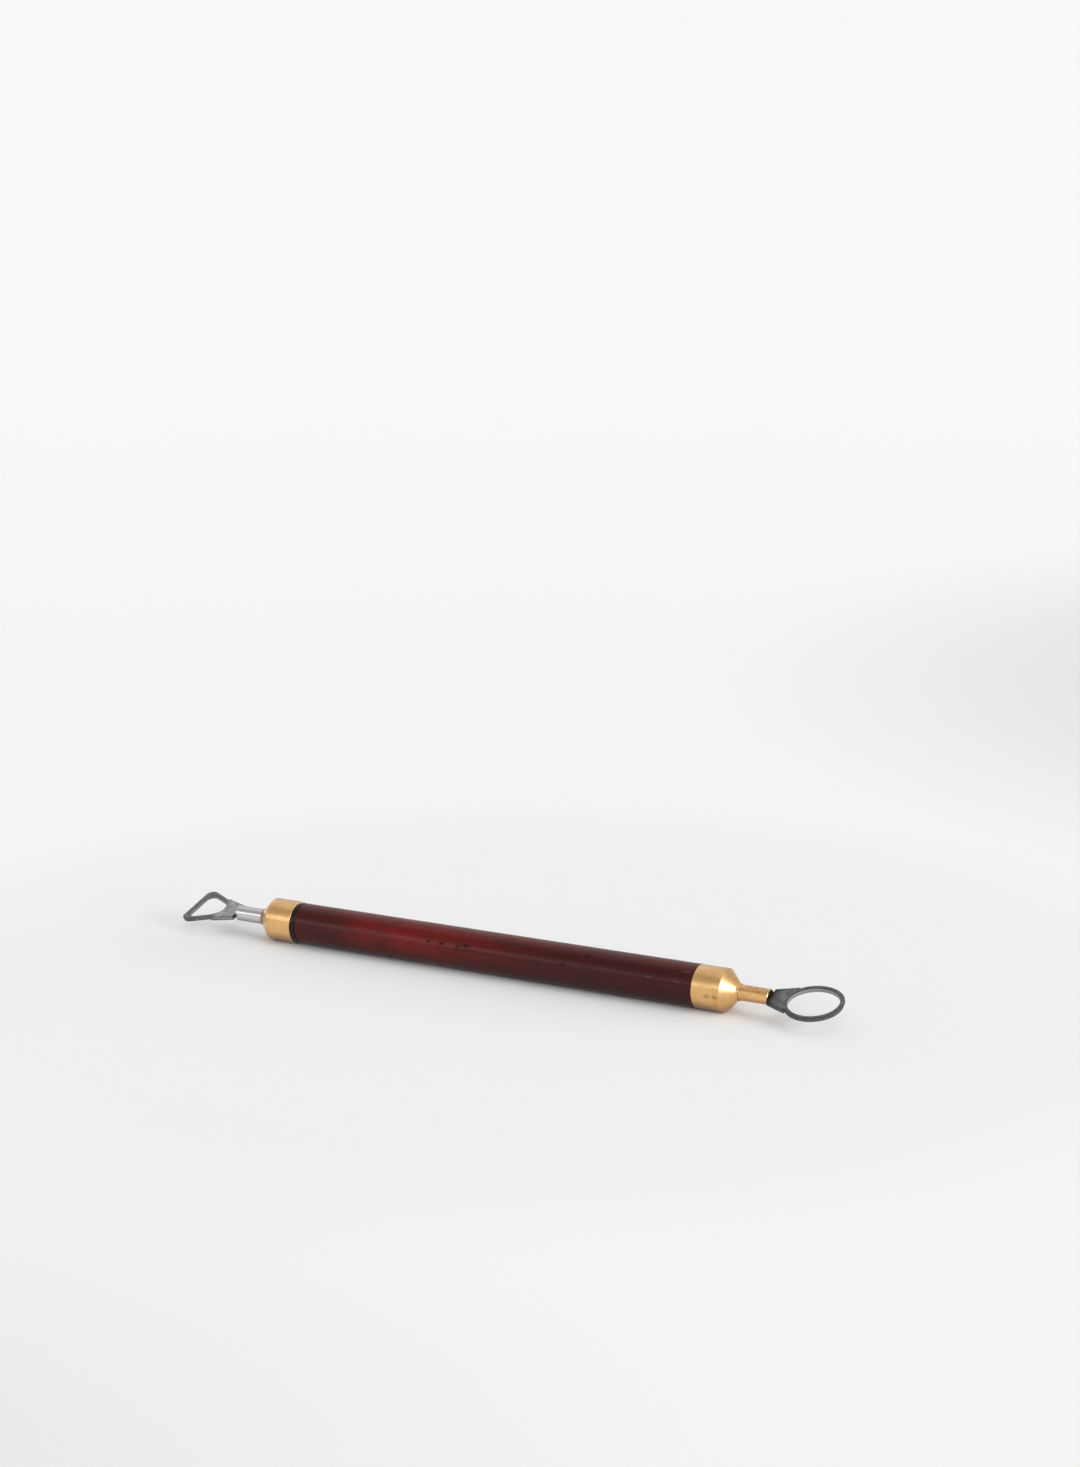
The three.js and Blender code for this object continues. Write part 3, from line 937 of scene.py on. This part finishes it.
def tang_side(flare, hub, reach):
    """Upper side of a tang as corners (x, y, rounding), from where it leaves the loop to the tongue."""
    corner = Vector(flare)
    shoulder = Vector((SHOULDER_GAP_MM, SHOULDER_WIDTH_MM / 2))
    after = corner + (hub - corner).normalized() * FLARE_ROUNDING_MM
    before = corner + (shoulder - corner).normalized() * FLARE_ROUNDING_MM
    curve = [p for p in quadratic(after, corner, before, FLARE_STEPS) if (p - hub).length > reach]
    leaving = hub + (curve[0] - hub).normalized() * reach
    tongue = SHANK_RADIUS_MM - MORTISE_WALL_MM - BRAZE_GAP_MM
    corners = [(*leaving, 0)] + [(*p, 0) for p in curve]
    corners += [
        (*shoulder, SHOULDER_ROUNDING_MM),
        (SHOULDER_GAP_MM, tongue, 0),
        (END_GAP_MM - MORTISE_DEPTH_MM, tongue, TONGUE_ROUNDING_MM),
    ]
    return corners


def outer_layers(loop, tang):
    """Outlines up a plate's outer wall, which is ground on the loop's underside."""
    half = PLATE_THICKNESS_MM / 2
    soft = SOFT_EDGE_MM
    middle = soft * SOFT_EDGE_MIDDLE
    outline = loop + tang
    ground = [BEVEL_WIDTH_MM] * len(loop) + [soft] * len(tang)
    layers = [(inset(outline, [width + RIM_MM for width in ground]), -half, 0.0, 0.0)]
    for share, up, rim_value in BEVEL_STEPS:
        widths = [share * width for width in ground]
        layers.append((inset(outline, widths), up * BEVEL_HEIGHT_MM - half, rim_value, 0.0))
    layers += [
        (inset(outline, 0), BEVEL_HEIGHT_MM - half + WALL_RIM_MM, 0.0, 0.0),
        (inset(outline, 0), half - soft - WALL_RIM_MM, 0.0, 0.0),
        (inset(outline, 0), half - soft, 1.0, 0.0),
        (inset(outline, middle), half - middle, 1.0, 0.0),
        (inset(outline, soft), half, 1.0, 0.0),
        (inset(outline, soft + RIM_MM), half, 0.0, 0.0),
    ]
    return layers


def hole_layers(hole):
    """Outlines up the wall of a plate's hole."""
    half = PLATE_THICKNESS_MM / 2
    soft = SOFT_EDGE_MM
    middle = soft * SOFT_EDGE_MIDDLE
    return [
        (inset(hole, -soft - RIM_MM), -half, 0.0, 0.0),
        (inset(hole, -soft), -half, 1.0, 0.0),
        (inset(hole, 0), soft - half, 1.0, 0.0),
        (inset(hole, 0), soft - half + WALL_RIM_MM, 0.0, 1.0),
        (inset(hole, 0), half - soft - WALL_RIM_MM, 0.0, 1.0),
        (inset(hole, 0), half - soft, 1.0, 0.0),
        (inset(hole, -middle), half - middle, 1.0, 0.0),
        (inset(hole, -soft), half, 1.0, 0.0),
        (inset(hole, -soft - RIM_MM), half, 0.0, 0.0),
    ]


def stack_rings(shape, rim, bore, layers):
    """Walls between outlines at rising heights, each (points, height, rim value, bore value). Returns
    the first and the last ring of edges."""
    rings = []
    for points, height, rim_value, bore_value in layers:
        ring = [shape.verts.new((p.x, p.y, height)) for p in points]
        for vertex in ring:
            vertex[rim] = rim_value
            vertex[bore] = bore_value
        rings.append(ring)
    for one, two in zip(rings, rings[1:]):
        for i in range(len(one)):
            shape.faces.new((one[i - 1], one[i], two[i], two[i - 1]))
    ends = []
    for ring in (rings[0], rings[-1]):
        ends.append([shape.edges.get((ring[i - 1], ring[i])) for i in range(len(ring))])
    return ends


def make_cutter(name, replaced, loop, side, hole, end, direction, material):
    """A plate with a hole. The values rim and bore tell its material where to paint shade on the edges and
    light on the bores.
    """
    lower_side = [(x, -y, r) for x, y, r in reversed(side)]
    tang = rounded(side + lower_side, closed=False)[1:-1]
    shape = bmesh.new()
    rim = shape.verts.layers.float.new("rim")
    bore = shape.verts.layers.float.new("bore")
    outer_ends = stack_rings(shape, rim, bore, outer_layers(loop, tang))
    hole_ends = stack_rings(shape, rim, bore, hole_layers(hole))
    for outer_edges, hole_edges in zip(outer_ends, hole_ends):
        bmesh.ops.triangle_fill(shape, use_beauty=True, edges=outer_edges + hole_edges)
    shape.transform(rolled_at(end) @ Matrix.Diagonal((direction * MM, MM, MM, 1)))
    finished(name, shape, material, [replaced])


def make_round_cutter(material):
    """The right cutter: a ring on its tang."""
    hub = Vector((ROUND_BRIDGE_MM + ROUND_HOLE_RADIUS_MM, 0))
    reach = ROUND_HOLE_RADIUS_MM + ROUND_BAND_MM
    side = tang_side(ROUND_FLARE_MM, hub, reach)
    start = math.atan2(side[0][1], side[0][0] - hub.x)
    loop = arc(hub, reach, -start, start, LOOP_STEPS)
    hole = arc(hub, ROUND_HOLE_RADIUS_MM, 0, math.tau, LOOP_STEPS)[:-1]
    make_cutter("round_loop_cutter", "cutter_round", loop, side, hole, SHANK_END_RIGHT, 1, material)


def triangle_path(hub, radius, end, corner, start):
    """A rounded triangle from the angle -start on its root arc, round its flat end, to start."""
    sine, cosine = math.sin(TRIANGLE_HALF_ANGLE), math.cos(TRIANGLE_HALF_ANGLE)
    corner_x = end - corner
    along = (corner_x - hub.x + (radius - corner) * sine) / cosine
    corner_y = (radius - corner) * cosine + along * sine
    tangent = math.pi / 2 + TRIANGLE_HALF_ANGLE
    points = arc(hub, radius, -start, -tangent, TRIANGLE_ARC_STEPS)
    points += arc((corner_x, -corner_y), corner, -tangent, 0, TRIANGLE_ARC_STEPS)
    points += arc((corner_x, corner_y), corner, 0, tangent, TRIANGLE_ARC_STEPS)
    points += arc(hub, radius, tangent, start, TRIANGLE_ARC_STEPS)
    return points


def make_triangular_cutter(material):
    """The left cutter: a rounded triangle on its tang."""
    root = TRIANGLE_ROOT_RADIUS_MM
    hub = Vector((TRIANGLE_BRIDGE_MM + root, 0))
    reach = root + TRIANGLE_BAND_MM
    end = TRIANGLE_BRIDGE_MM + TRIANGLE_HOLE_LENGTH_MM
    side = tang_side(TRIANGLE_FLARE_MM, hub, reach)
    start = math.atan2(side[0][1], side[0][0] - hub.x)
    loop = triangle_path(hub, reach, end + TRIANGLE_BAND_MM, TRIANGLE_OUTER_CORNER_MM, start)
    hole = triangle_path(hub, root, end, TRIANGLE_HOLE_CORNER_MM, math.pi)[:-1]
    name = "triangular_loop_cutter"
    make_cutter(name, "cutter_triangular", loop, side, hole, SHANK_END_LEFT, -1, material)


# Floor, light and camera


def make_floor():
    """A pale floor, far wider than the picture."""
    shape = bmesh.new()
    bmesh.ops.create_circle(shape, cap_ends=True, segments=FLOOR_SIDES, radius=FLOOR_RADIUS)
    floor = linked("floor", mesh_of("floor", shape))
    floor.data.materials.append(pale_floor())


def softbox(tree, direction, aim, half_width, half_height, softness, strength):
    """Light from a soft-edged rectangle, very far off, round an aim: 0 outside, strength inside."""
    middle = Vector(aim).normalized()
    across = Vector((0, 0, 1)).cross(middle).normalized()
    upward = middle.cross(across)
    depth = reach_along(tree, direction, middle)
    share = None
    for axis, half in ((across, half_width), (upward, half_height)):
        slope = calculate(tree, "DIVIDE", reach_along(tree, direction, axis), depth)
        offset = calculate(tree, "ABSOLUTE", slope)
        edge = math.tan(math.radians(half))
        within = spread(tree, offset, edge * (1 - softness), edge * (1 + softness), 1.0, 0.0)
        share = within if share is None else calculate(tree, "MULTIPLY", share, within)
    ahead = calculate(tree, "GREATER_THAN", depth, 0.0)
    return calculate(tree, "MULTIPLY", calculate(tree, "MULTIPLY", share, ahead), strength)


def glow(tree, direction, aim, narrowest, strength):
    """Light that rises smoothly towards an aim, from where the cosine of the angle is narrowest."""
    towards = reach_along(tree, direction, Vector(aim).normalized())
    return spread(tree, towards, narrowest, 1.0, 0.0, strength)


def make_studio_light():
    """A pale room with its softboxes and dark screens. The camera itself sees only an even, far floor."""
    world = bpy.data.worlds.new("studio")
    bpy.context.scene.world = world
    world.use_nodes = True
    tree = world.node_tree
    direction = node(tree, "ShaderNodeTexCoord").outputs["Generated"]
    light = calculate(tree, "ADD", glow(tree, direction, *ROOM_GLOW), ROOM_LIGHT)
    for box in SOFTBOXES:
        light = calculate(tree, "ADD", light, softbox(tree, direction, *box))
    seen = node(tree, "ShaderNodeLightPath").outputs["Is Camera Ray"]
    plain = calculate(tree, "MULTIPLY", seen, FAR_FLOOR_LIGHT)
    rest = calculate(tree, "MULTIPLY", calculate(tree, "SUBTRACT", 1.0, seen), light)
    strength = calculate(tree, "ADD", plain, rest)
    feed_all(tree, tree.nodes["Background"], {"Color": (1.0, 1.0, 1.0, 1.0), "Strength": strength})


def make_camera():
    """The photograph's camera."""
    camera_data = bpy.data.cameras.new("camera")
    camera_data.sensor_width = CAMERA_SENSOR_MM
    camera_data.lens = CAMERA_FOCAL_PIXELS / PHOTO_HEIGHT_PIXELS * camera_data.sensor_width
    camera_data.clip_end = CAMERA_CLIP_END
    azimuth, pitch = math.radians(CAMERA_AZIMUTH), math.radians(CAMERA_PITCH)
    level = math.cos(pitch)
    back = Vector((math.sin(azimuth) * level, -math.cos(azimuth) * level, math.sin(pitch)))
    camera = linked("camera", camera_data)
    camera.location = Vector(CAMERA_AIM) + back * CAMERA_DISTANCE
    camera.rotation_mode = "QUATERNION"
    camera.rotation_quaternion = (-back).to_track_quat("-Z", "Y")
    bpy.context.scene.camera = camera
    bpy.context.scene.view_settings.view_transform = "Standard"


edge_left = RIM_LEFT / MM - FERRULE_CYLINDER_MM
edge_right = RIM_RIGHT / MM + FERRULE_CYLINDER_MM
end_left = SHANK_END_LEFT / MM
end_right = SHANK_END_RIGHT / MM
brass_left = turned_brass("brass_left", edge_left, -1, LEFT_CONE_PAINTED_SHADE, ())
brass_right = turned_brass("brass_right", edge_right, 1, 0.0, SMUDGES)
metal_left = cutter_metal("cutter_left", end_left, -1, LEFT_TONES, LEFT_SHADES, LEFT_STAIN_MM)
metal_right = cutter_metal("cutter_right", end_right, 1, RIGHT_TONES, RIGHT_SHADES, RIGHT_STAIN_MM)

make_handle(hardwood())
make_spacer(black_ring())
make_ferrule("brass_ferrule_left", "ferrule_left", RIM_LEFT, -1, brass_left)
make_ferrule("brass_ferrule_right", "ferrule_right", RIM_RIGHT, 1, brass_right)
make_shank("steel_shank", "shank_left", SHANK_END_LEFT, -1, polished_steel())
make_shank("brass_shank", "shank_right", SHANK_END_RIGHT, 1, drawn_brass(end_right))
make_triangular_cutter(metal_left)
make_round_cutter(metal_right)
make_floor()
make_studio_light()
make_camera()
